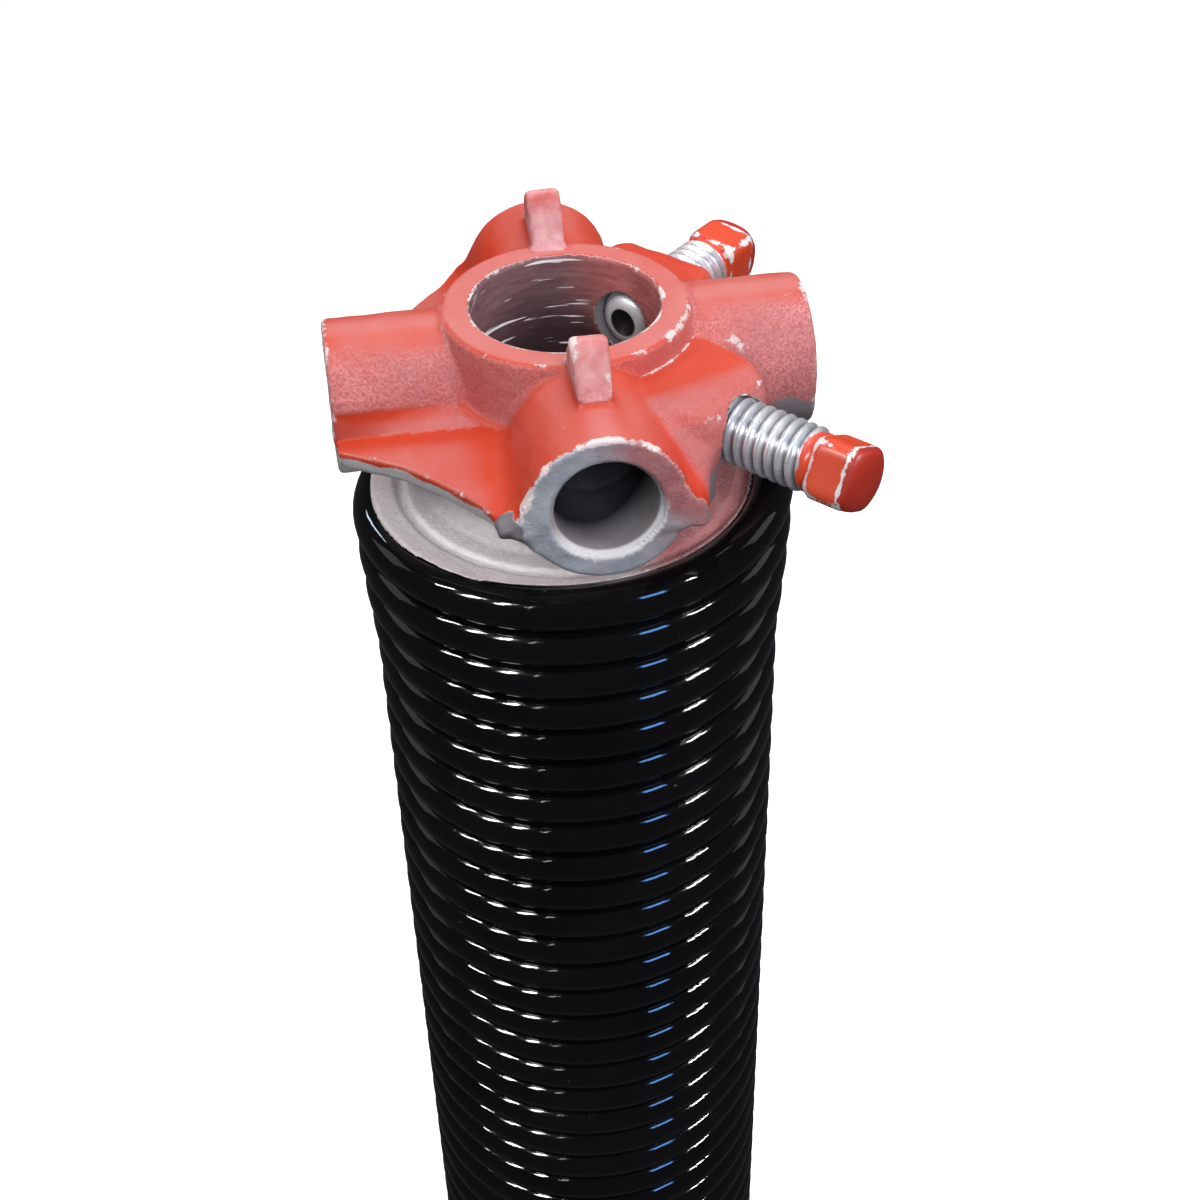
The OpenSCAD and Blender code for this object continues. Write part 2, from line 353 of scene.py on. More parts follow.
def casting_masks(ob, P, N):
    X, Y, Z = P.T
    R = np.hypot(X, Y)
    nx, ny, nz = N.T
    rad = (X * nx + Y * ny) / np.maximum(R, 1e-6)
    big = waves(X, Y, Z, 16, 3, 8)
    mid = waves(X, Y, Z, 6, 17, 8)
    fine = waves(X, Y, Z, 2.1, 25, 8)
    # how sharply the surface bends: the field a little way out and a little way in
    e = 0.7
    C = 0
    for k in range(3):
        for s in (-1, 1):
            Q = P.copy()
            Q[:, k] += s * e
            C = C + winding_cone(Q[:, 0], Q[:, 1], Q[:, 2])
    C = C / 6 / e  # positive on outer edges, negative in hollows
    edge = np.clip(C * 4.5, 0, 1)
    # painted shade: hollows and creases, found from how the surface bends, get a darker colour
    painted_shade_hollow = np.clip(-C * 3.5, 0, 1)
    # where red paint is
    paint = step(-15.2, -11.8, Z + 1.2 * mid)
    paint = np.maximum(paint * step(-0.55, -0.05, nz + 0.12 * mid), 0)
    inside_bore = (R < BORE_R + 0.4) & (rad < -0.5)
    paint = np.where(inside_bore, 0, paint)
    face = np.zeros(len(P))
    hole = np.zeros(len(P))
    lit = np.zeros(len(P))
    painted_light_lip = np.zeros(len(P))
    inset = np.ones(len(P))
    inward = np.full(len(P), 0.42)  # linear along a hole, so long triangles carry it exactly
    dz = Z - SOCK_Z
    for U, V, reach, nu in ((-Y, X, 35.0, -ny), (Y, X, 33.0, ny), (-X, Y, 34.3, -nx), (X, Y, 34.3, nx)):
        rho = np.hypot(V, dz)
        f = (U > reach - 0.3) & (nu > (0.6 if U is Y or reach == 35.0 else 0.9)) & (rho < SOCK_R - 0.2)
        face = np.where(f, 1, face)
        hin = (rho < HOLE_R + 1.0) & (U > 19) & (U < reach + 0.3)
        hole = np.where(hin & ~f, 1, hole)
        # painted shade: how far into a hole, so its walls darken deeper in
        inward = np.where((U > 9) & (rho < SOCK_R + 1), 0.3 + (reach - U - 0.38 * V) / 40, inward)
        mouth = (U > reach - 1.5) & (U < reach + 0.6) & (rho < SOCK_R - 0.8)
        edge = np.where(mouth, 0, edge)
        paint = np.where(mouth, 0, paint)
        # painted light: the lower chamfer just inside each socket's mouth
        painted_light_lip = np.maximum(painted_light_lip, hin * step(0.5, -4.5, dz - 0.25 * V))
        inset = np.where((U > 9) & (rho < SOCK_R + 1), (reach - U) / 20, inset)
    end_face = (ny < -0.72) & (Y < -33.2) & (Z < 0)
    face = np.where(end_face, 1, face)
    redder = step(2.5, 7, 0.75 * X + 0.65 * (Z + 11.5) + 0.9 * mid) * step(-2.5, 5, X + 0.8 * mid)
    tint = np.where(face > 0, np.maximum(0.95 * redder, 0.42 * step(-2, 10, X + 0.5 * (Z + 11.5) + 1.5 * mid)) * (Y < 0), 0)
    paint = np.where(face > 0, 0, paint)
    paint = np.where(hole > 0, 0, paint)
    # the holes for the screws are bare
    thin = np.zeros(len(P))
    grey = np.zeros(len(P))
    corner = np.zeros(len(P))
    flat_top = np.zeros(len(P))
    near_hole = np.zeros(len(P))
    spread = np.zeros(len(P))
    for az in (FRONT_AZ, REAR_AZ):
        c, n = math.cos(math.radians(az)), math.sin(math.radians(az))
        U, V = X * c + Y * n, -X * n + Y * c
        nu, nv = nx * c + ny * n, -nx * n + ny * c
        drilled = (np.hypot(V, Z - SCREW_Z) < 5.02) & (U > 8) & (U < 33)
        paint = np.where(drilled, 0, paint)
        hole = np.where(drilled, 1, hole)
        inward = np.where(drilled, 0.42, inward)
        near_hole = np.maximum(near_hole, (np.hypot(V, Z - SCREW_Z) < 6.0) & (U > 20) & (U < 33))
        # beyond a slanting line the flat top is thinly covered too
        W = V if az < 0 else -V
        spread = np.maximum(spread, (az < 0) * step(23.2, 27.0, U - 0.28 * W + 0.9 * mid) * (np.abs(V) < 11) * (U > 18) * step(-9, -6, Z) * (Z < -3.2) * (nz > 0.2))
        # the outer faces of the bosses are thinly covered, greyer towards the bottom
        on = step(16.5, 20, U) * step(13, 11, np.abs(V)) * (U > 15)
        out = np.maximum(step(0.2, 0.65, nu), step(0.25, 0.7, -nv if az < 0 else np.abs(nv)))
        thin = np.maximum(thin, on * out * step(-3.6, -5.6, Z))
        grey = np.maximum(grey, on * out * step(-8.5, -14.5, Z + 0.8 * mid))
        corner = np.maximum(corner, on * np.exp(-((nz - 0.62) / 0.2) ** 2) * step(-8.2, -5.8, Z) * (Z < -3.3))
        flat_top = np.maximum(flat_top, step(16, 18, U) * step(0.9, 0.98, nz) * (np.abs(V) < 10) * step(-5.2, -4.4, Z) * step(-2.9, -3.3, Z))
    # sandy overspray on the sockets' sides and the hub's side wall
    side = np.zeros(len(P))
    rim = np.zeros(len(P))
    for U, V, reach in ((-Y, X, 35.0), (Y, X, 33.0), (-X, Y, 34.3), (X, Y, 34.3)):
        rho = np.hypot(V, dz)
        on = (np.abs(rho - SOCK_R) < 0.6) & (U > 17)
        weight = 0.12 if reach == 35.0 or reach == 33.0 else 1.0
        top = (1.0, 0.84) if U is X else (0.98, 0.74)
        low_end = (-0.7, -0.3) if U is X else (-0.1, 0.35)
        side = np.maximum(side, on * weight * step(*top, nz + 0.05 * mid) * step(*low_end, nz))
        if U is X:
            rim = on * step(32.2, 34.0, U) * step(-0.3, 0.4, nz)
            rim = np.maximum(rim, 0.5 * on * np.exp(-((V + 3.6) / 1.4) ** 2) * step(21, 24, U) * (nz > 0))
        if reach == 35.0:
            rim_f = on * step(33.9, 34.5, U) * step(-0.2, 0.3, nz)
    wall = step(16.8, 17.6, R) * step(20.6, 19.4, R) * step(0.9, 0.5, nz) * step(-13, -9, Z)
    on_rib = (np.abs(X) < 2.95) & (Z > 0.12) & (R > 14.6)
    painted_shade_hollow = np.where(on_rib, 0, painted_shade_hollow)
    sandy = np.maximum(side, 0.8 * wall)
    sandy = np.maximum(sandy, np.where(on_rib, 0.2 + 0.75 * step(5.6, 2.0, Z), 0))
    sandy = np.maximum(sandy, 0.9 * thin)
    sandy = np.maximum(sandy, 0.62 * spread)
    flat_top = flat_top * (1 - spread)
    sandy = np.maximum(sandy, np.where(face > 0, 1.0, 0))
    sandy = np.clip(sandy + 0.16 * big, 0, 1) * (sandy > 0.02)
    # the webs on the left: a shoulder beside the socket, then the plate
    A = np.abs(Y)
    y2 = np.interp(X, [-36, -34, -30, -22.5, -14, -8], [10.7, 10.9, 11.6, 13.1, 14.6, 15.4])
    web = step(-8.5, -9.5, X) * step(10.15, 10.45, A) * step(-7.7, -8.4, Z) * step(-14.9, -14.3, Z) * (R > 20.2)
    web = web * np.where(A < y2 + 0.6, step(-0.1, 0.1, nz), step(0.3, 0.5, nz))
    t = (A - 10.4) / (y2 - 10.4)
    # painted sheen: paler bands across the webs' shoulder and plate bring out their shape
    web_painted_sheen = np.where(A < y2, (0.6 + 0.4 * step(-33, -24, X)) * step(0.25, 0.65, t), step(0.2, 5.5, A - y2 + 0.6 * mid) * step(-13.5, -18, X + 0.6 * mid))
    web_sandy = np.where(A < y2, 0.62 * step(-27, -15, X), 0.0)
    sandy = sandy * (1 - web) + web_sandy * web
    # painted shade: darker orange bands past the webs' lower crease and at the shoulder's foot by the socket
    painted_shade_hollow = np.maximum(painted_shade_hollow, np.exp(-((A - y2 - 1.2) / 1.3) ** 2) * web * (A > y2))
    painted_shade_hollow = np.maximum(painted_shade_hollow, 0.9 * step(0.35, 0.1, t) * web)
    painted_shade_hollow = np.where((A < y2) & (t > 0.35) & (web > 0.5), 0, painted_shade_hollow)
    crease = np.exp(-((A - 10.35) / 0.22) ** 2) * step(-9, -11, X) * np.exp(-((Z + 8.2) / 0.7) ** 2) * (R > 20.2)
    # the lump of flash is bare and dark
    lump = np.sqrt((X + 12.6) ** 2 + ((Y + 34) / 0.8) ** 2 + (Z + 13.4) ** 2) < 2.5
    lump = lump & (Y < -32.6)
    paint = np.where(lump, 0, paint)
    hole = np.where(lump, 1, hole)
    inward = np.where(lump, 0.45, inward)
    painted_light_lip = np.where(lump, 0, painted_light_lip)
    face = np.where(lump, 0, face)
    edge = np.where(lump, 0, edge)
    tint = np.where(lump, 0, tint)
    # flange: bare, with red drifted over it at the right
    flange = (R < 30.6) & (Z < -26.5) & (Z > -31.5)
    drift = step(-60, -30, np.degrees(np.arctan2(Y, X)) * -1 * -1) * 0
    ang = np.degrees(np.arctan2(Y, X))
    drift = np.clip(step(-92, -62, ang + 5 * mid) * step(130, 80, ang) * 0.9 + 0.12 * step(-125, -100, ang) + 0.16 * step(26.4, 28.5, R), 0, 1)
    drift = drift * (nz > 0.2)
    paint = np.where(flange, 0, paint)
    tint = np.where(flange, drift, tint)
    edge = np.where(flange, 0.5 * edge, edge)
    sandy = np.where(flange, 1.0, sandy)
    foot = np.exp(-((Z + 3.2) / 0.3) ** 2) * step(17.9, 18.4, R) * step(20.2, 19.4, R) * (X > 2) * step(0.97, 0.85, nz)
    bore = inside_bore.astype(float)
    # painted shade: the cone below the flange, inside the spring
    low = (Z < -31.2).astype(float)
    paint = paint * (1 - 0.85 * grey)
    # painted shade: the bare hub neck under the webs and bosses is darkened
    neck = step(-14.5, -16.5, Z) * (R < 26) * step(-26.8, -25.5, Z) * step(0.4, 0.1, nz)
    # painted sheen: upward faces are paler, standing in for the light above reflected on them; less on the bosses' flat
    # tops and in hollows
    sheen_upward = step(0.72, 0.99, nz) * (0.8 + 0.2 * big) * (1 - painted_shade_hollow) * (1 - 0.8 * flat_top)
    sheen_upward = sheen_upward * (1 - web) + web_painted_sheen * web
    # painted sheen: the hub's flat top is paler pink
    painted_top_sheen = step(0.93, 0.995, nz) * step(-0.9, -0.4, Z) * (0.75 + 0.25 * big)
    edge = np.where(inside_bore, 0.25 * edge, edge)
    edge = np.where((near_hole > 0) & (hole < 1), 0.3 * edge, edge)
    edge = np.maximum(edge, 0.55 * corner * (1 - near_hole))
    edge = np.maximum(edge, 0.6 * rim)
    edge = np.maximum(edge, 0.72 * rim_f)
    edge = np.maximum(edge, 0.52 * on_rib * np.exp(-((np.abs(X) - 2.4) / 0.3) ** 2) * (nz > 0.15))
    edge = np.maximum(edge, 0.4 * crease)
    lined = np.exp(-((R - BORE_R - 0.3) / 0.35) ** 2) * (Z > -1.0) * (nz > 0.2)
    edge = np.maximum(edge, 0.72 * lined)
    put(ob, "sandy", sandy)
    put(ob, "edge", np.maximum(edge * (0.72 + 0.5 * mid), 0.7 * foot))
    put(ob, "painted_shade_hollow", painted_shade_hollow)
    put(ob, "painted_sheen", np.where(hole > 0, lit, sheen_upward * (1 - step(-1.5, 1.5, Z - 5))))
    # painted sheen also on the ribs' lower parts
    painted_top_sheen = np.maximum(painted_top_sheen, 0.62 * on_rib * step(5.8, 4.2, Z) * (nz > 0.2))
    put(ob, "painted_top_sheen", painted_top_sheen)
    put(ob, "tint", tint)
    put(ob, "mauve", np.clip(np.maximum(0.75 * thin, 0.55 * spread) + np.where(X < 0, 0.45, 0.12) * (side > 0) * step(0.45, 0.0, nz) + 0.5 * wall * step(-1, -3, Z), 0, 1))
    put(ob, "paint", paint)
    # painted shade: the nook beside the front socket, the right socket's underside, the left web's drafted rim and the
    # bosses' lower faces are darkened
    nook = (X > 8) & (Y < -6) & (face < 1) & (hole < 1) & (R > 18.5)
    nook = nook * step(-8.5, -12, Z) * (Z > -26.5) * step(0.7, 0.3, nz)
    under = (X > 17) * step(-16, -18.5, Z) * (Z > -26.5)
    rim_l = (X < -8) * step(10.4, 11.2, A) * step(-10.5, -12, Z) * (Z > -17) * step(0.7, 0.4, nz)
    tint = np.maximum(tint, 0.42 * rim_l)
    paint = paint * (1 - 0.9 * nook)
    put(ob, "neck", np.clip(np.maximum(np.maximum(neck, 0.8 * grey), np.maximum(np.maximum(nook, under), 0.3 * rim_l)), 0, 1))
    put(ob, "face", face)
    put(ob, "hole", hole)
    put(ob, "bore", bore)
    # the side of the bore where the scratches are painted near white as glints
    put(ob, "glint_side_bore", step(-4, 8, -X + 0.55 * Y) * bore)
    # painted shade: grows deeper down the bore
    put(ob, "painted_depth_shade", 0.2 - (Z + 0.25 * np.abs(X)) / 100)
    put(ob, "inward", inward)
    put(ob, "painted_light_lip", painted_light_lip)
    put(ob, "inset", inset)
    put(ob, "rib", np.clip(on_rib * (0.72 + 0.35 * step(5.0, 3.0, Z) + 0.2 * mid), 0, 1))
    put(ob, "low", low)


casting_masks(cone, P, N)


# ---------------------------------------------------------------- spring
def coil(name):
    t_all, rings = [], []
    split = TURNS - 30
    lower = np.arange(0, split * 64)
    t_low = lower / 64
    t_high = split + np.arange(0, 30 * 80 + 1) / 80
    # the upper 30 turns have more points along the wire; both parts have the same 16 points round it, so they join ring
    # to ring
    m = 16
    t = np.concatenate([t_low, t_high])
    z = Z_FIRST + t * PITCH
    r = wire_radius(z)
    a = np.radians(END_AZ) + 2 * np.pi * t
    # more points on the outside of the wire than on the inside
    u = np.arange(m) / m * 2 * np.pi
    phi = u - 0.42 * np.sin(u)
    cr, cz = np.cos(phi), np.sin(phi)
    slope = math.atan(PITCH / (2 * np.pi * COIL_R))
    rad = r[:, None] + WIRE_R * cr[None, :]
    up = WIRE_R * cz[None, :] * math.cos(slope)
    along = -WIRE_R * cz[None, :] * math.sin(slope)
    ca, sa = np.cos(a)[:, None], np.sin(a)[:, None]
    X = rad * ca - along * sa
    Y = rad * sa + along * ca
    Zc = z[:, None] + up
    pts = np.stack([X, Y, np.broadcast_to(Zc, X.shape)], 2).reshape(-1, 3)
    n = len(t)
    i = np.arange(n - 1)[:, None] * m
    j = np.arange(m)[None, :]
    j2 = (j + 1) % m
    quads = np.stack([i + j, i + m + j, i + m + j2, i + j2], 2).reshape(-1, 4)
    # each cut end: a flat cap
    extra, tris = [], []
    base = len(pts)
    ends = []
    for k, sign in ((0, -1), (n - 1, 1)):
        centre = np.array([r[k] * math.cos(a[k]), r[k] * math.sin(a[k]), z[k]])
        tang = np.array([-math.sin(a[k]), math.cos(a[k]), math.tan(slope)]) * sign
        ring = pts[k * m:(k + 1) * m]
        small = centre + (ring - centre) * 0.86 + tang * 0.0
        start = base + sum(len(e) for e in extra)
        extra.append(small)
        extra.append(centre[None, :] + tang * 0.02)
        for q in range(m):
            q2 = (q + 1) % m
            o1, o2, s1, s2, c0 = k * m + q, k * m + q2, start + q, start + q2, start + m
            if sign > 0:
                ends += [(o1, s1, s2), (o1, s2, o2), (s1, c0, s2)]
            else:
                ends += [(o1, s2, s1), (o1, o2, s2), (s1, s2, c0)]
    pts = np.concatenate([pts] + extra)
    me = bpy.data.meshes.new(name)
    faces = quads.tolist() + [list(f) for f in ends]
    flat = np.array([v for f in faces for v in f], np.int32)
    starts = np.cumsum([0] + [len(f) for f in faces[:-1]]).astype(np.int32)
    me.vertices.add(len(pts))
    me.vertices.foreach_set("co", (pts * MM).astype(f32).ravel())
    me.loops.add(len(flat))
    me.loops.foreach_set("vertex_index", flat)
    me.polygons.add(len(faces))
    me.polygons.foreach_set("loop_start", starts)
    me.update(calc_edges=True)
    me.validate()
    me.polygons.foreach_set("use_smooth", [i < len(quads) for i in range(len(me.polygons))])
    me.update()
    ob = bpy.data.objects.new(name, me)
    scene.collection.objects.link(ob)
    return ob


spring = coil("spring_wire")


# ---------------------------------------------------------------- set screws
def set_screw(name, az, out, turn):
    """Square-head screw along its own axis u, from the cup point to the crown."""
    SHANK, AF = 21.8, 8.7
    pitch, crest, root = 1.66, 4.70, 3.84
    m = 64
    u_list = [0.95, 0.12, 0.0, 0.25, 0.6, 1.0]
    u_list += list(np.arange(1.2, SHANK - 0.05, 0.132))
    u_list += [SHANK, SHANK, SHANK + 0.12, SHANK + 0.3, SHANK + 0.6, SHANK + 1.0, SHANK + 1.5, SHANK + 2.6, SHANK + 3.8,
               SHANK + 4.9, SHANK + 5.6, SHANK + 6.1, SHANK + 6.5, SHANK + 6.8, SHANK + 7.1, SHANK + 7.35, SHANK + 7.55,
               SHANK + 7.7, SHANK + 7.78, SHANK + 7.8]
    th = np.arange(m) / m * 2 * np.pi
    base = np.arctan2(np.sin(4 * th), np.cos(4 * th)) / 4
    th = th + 0.0
    c, s = np.abs(np.cos(th)), np.abs(np.sin(th))

    def square(half, corner):
        p = 1 / np.maximum(c, s) * half
        soft = (c ** 14 + s ** 14) ** (-1 / 14) * half
        return -np.log(np.exp(-9 * soft) + np.exp(-9 * np.full(m, corner))) / 9 + 0 * p

    rows, kind = [], []
    n_thread = len(np.arange(1.2, SHANK - 0.05, 0.132))
    for k, u in enumerate(u_list):
        if k == 0:
            r = np.full(m, 1.0)
        elif k == 1:
            r = np.full(m, 2.1)
        elif k < 6:
            r = np.full(m, {2: 2.35, 3: 3.0, 4: 3.6, 5: 4.05}[k])
        elif k < 6 + n_thread:
            w = (u / pitch - th / (2 * np.pi)) % 1.0
            tri = np.abs(2 * w - 1)
            prof = np.clip((tri - 0.12) / 0.70, 0, 1)
            fade = step(0.6, 2.0, np.array(u)) * (1 - 0.85 * step(SHANK - 1.6, SHANK - 0.5, np.array(u)))
            r = root + (crest - root) * (prof * fade + (1 - fade) * (0.35 if u > 5 else 0.2))
            if u < 2.0:
                r = np.minimum(r, 4.1 + (u - 1.0) * 0.6)
        else:
            v = u - SHANK
            if k == 6 + n_thread:
                r = np.full(m, 3.9)
            elif v == 0:
                r = square(AF / 2 - 0.55, 4.4)
            elif v <= 5.6:
                grow = step(0, 0.9, np.array(v)) * 0.5
                r = square(AF / 2 - 0.5 + grow, 4.75 + 0.62 * step(0, 1.4, np.array(v)))
            else:
                dome = math.sqrt(max(1 - ((v - 5.6) / 2.2) ** 2, 0.0))
                lim = 0.35 + 5.0 * dome ** 0.8
                full = square(AF / 2, 5.37)
                r = -np.log(np.exp(-5 * full) + np.exp(-5 * np.full(m, lim))) / 5
                r = np.maximum(r, 0.02)
        rows.append(np.stack([np.full(m, u), r * np.cos(th), r * np.sin(th)], 1))
        kind.append(0 if k < 6 + n_thread else 1)
    n = len(rows)
    pts = np.concatenate(rows)
    i = np.arange(n - 1)[:, None] * m
    j = np.arange(m)[None, :]
    j2 = (j + 1) % m
    quads = np.stack([i + j, i + j2, i + m + j2, i + m + j], 2).reshape(-1, 4)
    cup, tip = len(pts), len(pts) + 1
    pts = np.concatenate([pts, [[1.2, 0, 0], [u_list[-1] + 0.0, 0, 0]]])
    ends = []
    for q in range(m):
        q2 = (q + 1) % m
        ends.append((q, cup, q2))
        ends.append(((n - 1) * m + q, (n - 1) * m + q2, tip))
    U, A, B = pts.T
    kind_v = np.concatenate([np.repeat(kind, m), [0, 1]]).astype(float)
    # masks before the screw is turned and placed
    V = U - SHANK
    rr = np.hypot(A, B)
    flatness = np.maximum(np.abs(A), np.abs(B)) / np.maximum(rr, 1e-6)
    lump = waves(A + az, B, U, 3.4, 5, 8)
    corner = step(0.85, 0.74, flatness + 0.03 * lump)
    rim = np.exp(-((V - 5.5) / 0.5) ** 2) + np.exp(-((V - 0.55) / 0.55) ** 2)
    wear = np.clip(np.maximum(corner * (V < 6.2) * 0.9, rim) * (0.82 + 0.35 * lump), 0, 1) * (V > -0.2)
    crown = step(5.3, 6.1, V)
    paint = step(-2.0, -0.3, V + 0.7 * lump)
    crest_v = np.where(kind_v < 1, np.clip((rr - root) / (crest - root), 0, 1), 0)
    ct, st = math.cos(math.radians(turn)), math.sin(math.radians(turn))
    side, up = A * ct - B * st, A * st + B * ct
    ca, sa = math.cos(math.radians(az)), math.sin(math.radians(az))
    start = 13.16 + out
    R = U + start
    world = np.stack([R * ca - side * -sa * -1, R * sa + side * ca, HUB + SCREW_Z + up], 1)
    world[:, 0] = R * ca - side * sa
    me = bpy.data.meshes.new(name)
    faces = quads.tolist() + [list(f) for f in ends]
    flat = np.array([v for f in faces for v in f], np.int32)
    starts = np.cumsum([0] + [len(f) for f in faces[:-1]]).astype(np.int32)
    me.vertices.add(len(world))
    me.vertices.foreach_set("co", (world * MM).astype(f32).ravel())
    me.loops.add(len(flat))
    me.loops.foreach_set("vertex_index", flat)
    me.polygons.add(len(faces))
    me.polygons.foreach_set("loop_start", starts)
    me.update(calc_edges=True)
    me.validate()
    me.polygons.foreach_set("use_smooth", [True] * len(me.polygons))
    me.update()
    ob = bpy.data.objects.new(name, me)
    scene.collection.objects.link(ob)
    # outward faces
    bm_flip(ob)
    put(ob, "paint", paint)
    put(ob, "wear", wear)
    put(ob, "crown", crown)
    put(ob, "point", step(2.6, 1.6, U))
    # painted shade: the cup point's hollow
    put(ob, "cup", ((rr < 2.15) & (U < 1.25)).astype(float))
    # painted shade: the thread roots are made darker
    put(ob, "crest", crest_v)
    return ob


def bm_flip(ob):
    import bmesh
    bm = bmesh.new()
    bm.from_mesh(ob.data)
    bmesh.ops.recalc_face_normals(bm, faces=bm.faces)
    bm.to_mesh(ob.data)
    bm.free()


screw_f = set_screw("set_screw_front_threaded", FRONT_AZ, 8.5, -26)
screw_r = set_screw("set_screw_rear_threaded", REAR_AZ, 0.0, 6)
bm_flip(spring)


# ---------------------------------------------------------------- stationary cone
BASE = Table([(-42.85, 11.3), (-16, 32.2), (16, 32.2), (42.85, 11.3), (42.85, -11.3), (16, -32.2), (-16, -32.2), (-42.85, -11.3)],
             (-60, -44), (60, 44), 0.3, 0.2)
BASE_BODY = Table([(-6, 1), (26.25, 1), (26.25, 7), (24.9, 36.4), (23.3, 38), (-6, 38)], (-6, -6), (46, 44), 0.2)


def stationary_cone(X, Y, Z):
    R = np.sqrt(X * X + Y * Y)
    A = np.abs(X)
    plan = np.minimum(R - 36, BASE(X, Y))
    plan = np.minimum(plan, np.sqrt((A - 42.85) ** 2 + Y * Y) - 11.5)
    lumps = 0.05 * waves(X, Y, Z, 6, 3, 7) + 0.03 * waves(X, Y, Z, 2.6, 12, 7)
    # the plate, 5.9 mm thick, its sides drawn in above 3 mm
    plate = smax(smax(plan + 0.25 * np.maximum(Z - 3.0, 0), Z - 5.9, 1.2), -Z, 0.5)
    d = smin(plate + lumps * step(0.5, 2, Z), BASE_BODY(R, Z) + lumps, 0.8)
    d = smax(d, BORE_R - R + 0.5 * np.clip(Z - 37.3, 0, 1) + 0.5 * np.clip(0.7 - Z, 0, 1), 0.25)
    bolt = np.sqrt((A - 42.85) ** 2 + Y * Y) - 5.2 - 0.4 * np.clip(0.6 - Z, 0, 1) - 0.4 * np.clip(Z - 5.4, 0, 1)
    d = smax(d, -bolt, 0.25)
    # room for the first coil, which starts 0.3 mm above the plate
    theta = np.degrees(np.arctan2(Y, X))
    on = np.mod(theta - END_AZ, 360)
    for turn in (0, 1):
        zw = Z_FIRST + PITCH * (on / 360 + turn)
        rw = wire_radius(zw)
        tube = np.sqrt((R - rw) ** 2 + (Z - zw) ** 2) - (WIRE_R + 0.14)
        d = smax(d, -tube, 0.15)
    return d


base, BP, BN = shape_mesh("stationary_cone_casting", stationary_cone, (-55.4, -37.4, -1.2), (55.4, 37.4, 39.6), 0.55, 120000, (0, 0, 0))


def base_masks(ob, P, N):
    X, Y, Z = P.T
    R = np.hypot(X, Y)
    e = 0.7
    C = 0
    for k in range(3):
        for s in (-1, 1):
            Q = P.copy()
            Q[:, k] += s * e
            C = C + stationary_cone(Q[:, 0], Q[:, 1], Q[:, 2])
    C = C / 6 / e
    rad = (X * N[:, 0] + Y * N[:, 1]) / np.maximum(R, 1e-6)
    put(ob, "edge", np.clip(C * 4, 0, 1))
    # painted shade: hollows get a darker grey
    put(ob, "painted_shade_hollow", np.clip(-C * 3, 0, 1))
    bolt = np.hypot(np.abs(X) - 42.85, Y) < 5.9
    machined = ((R < BORE_R + 0.4) & (rad < -0.5)) | (Z < 0.15) | bolt
    put(ob, "machined", machined.astype(float))


base_masks(base, BP, BN)


# ---------------------------------------------------------------- materials
def new_material(name):
    mat = bpy.data.materials.new(name)
    mat.use_nodes = True
    nt = mat.node_tree
    nt.nodes.clear()
    out = nt.nodes.new("ShaderNodeOutputMaterial")
    bsdf = nt.nodes.new("ShaderNodeBsdfPrincipled")
    nt.links.new(bsdf.outputs[0], out.inputs[0])
    return mat, nt, bsdf


class Net:
    """Short calls for making nodes."""

    def __init__(self, nt):
        self.nt = nt
        self.tex = nt.nodes.new("ShaderNodeTexCoord").outputs["Object"]

    def link(self, a, b):
        self.nt.links.new(a, b)

    def attr(self, name):
        n = self.nt.nodes.new("ShaderNodeAttribute")
        n.attribute_name = name
        return n.outputs["Fac"]

    def noise(self, scale, detail=4, rough=0.55, vec=None, distortion=0.0):
        n = self.nt.nodes.new("ShaderNodeTexNoise")
        n.inputs["Scale"].default_value = scale
        n.inputs["Detail"].default_value = detail
        n.inputs["Roughness"].default_value = rough
        n.inputs["Distortion"].default_value = distortion
        self.link(vec or self.tex, n.inputs["Vector"])
        return n.outputs["Fac"]

    def stretch(self, sx, sy, sz):
        n = self.nt.nodes.new("ShaderNodeMapping")
        n.inputs["Scale"].default_value = (sx, sy, sz)
        self.link(self.tex, n.inputs["Vector"])
        return n.outputs["Vector"]

    def ramp(self, fac, stops):
        n = self.nt.nodes.new("ShaderNodeValToRGB")
        cr = n.color_ramp
        while len(cr.elements) < len(stops):
            cr.elements.new(0.5)
        for e, (p, v) in zip(cr.elements, stops):
            e.position = p
            e.color = (v, v, v, 1) if not isinstance(v, tuple) else (*v, 1)
        self.link(fac, n.inputs["Fac"])
        return n.outputs["Color"]

    def math(self, op, a, b=None, clamp=False):
        n = self.nt.nodes.new("ShaderNodeMath")
        n.operation = op
        n.use_clamp = clamp
        for i, v in enumerate((a, b)):
            if v is None:
                continue
            if isinstance(v, (int, float)):
                n.inputs[i].default_value = v
            else:
                self.link(v, n.inputs[i])
        return n.outputs[0]

    def mix(self, fac, a, b):
        n = self.nt.nodes.new("ShaderNodeMix")
        n.data_type = "RGBA"
        for sock, v in ((n.inputs[0], fac), (n.inputs[6], a), (n.inputs[7], b)):
            if isinstance(v, (int, float)):
                sock.default_value = v
            elif isinstance(v, tuple):
                sock.default_value = (*v, 1)
            else:
                self.link(v, sock)
        return n.outputs[2]

    def lerp(self, fac, a, b):
        n = self.nt.nodes.new("ShaderNodeMix")
        n.data_type = "FLOAT"
        for sock, v in ((n.inputs[0], fac), (n.inputs[2], a), (n.inputs[3], b)):
            if isinstance(v, (int, float)):
                sock.default_value = v
            else:
                self.link(v, sock)
        return n.outputs[0]

    def bump(self, height, strength, distance, normal=None):
        n = self.nt.nodes.new("ShaderNodeBump")
        n.inputs["Strength"].default_value = strength
        n.inputs["Distance"].default_value = distance
        self.link(height, n.inputs["Height"])
        if normal is not None:
            self.link(normal, n.inputs["Normal"])
        return n.outputs["Normal"]


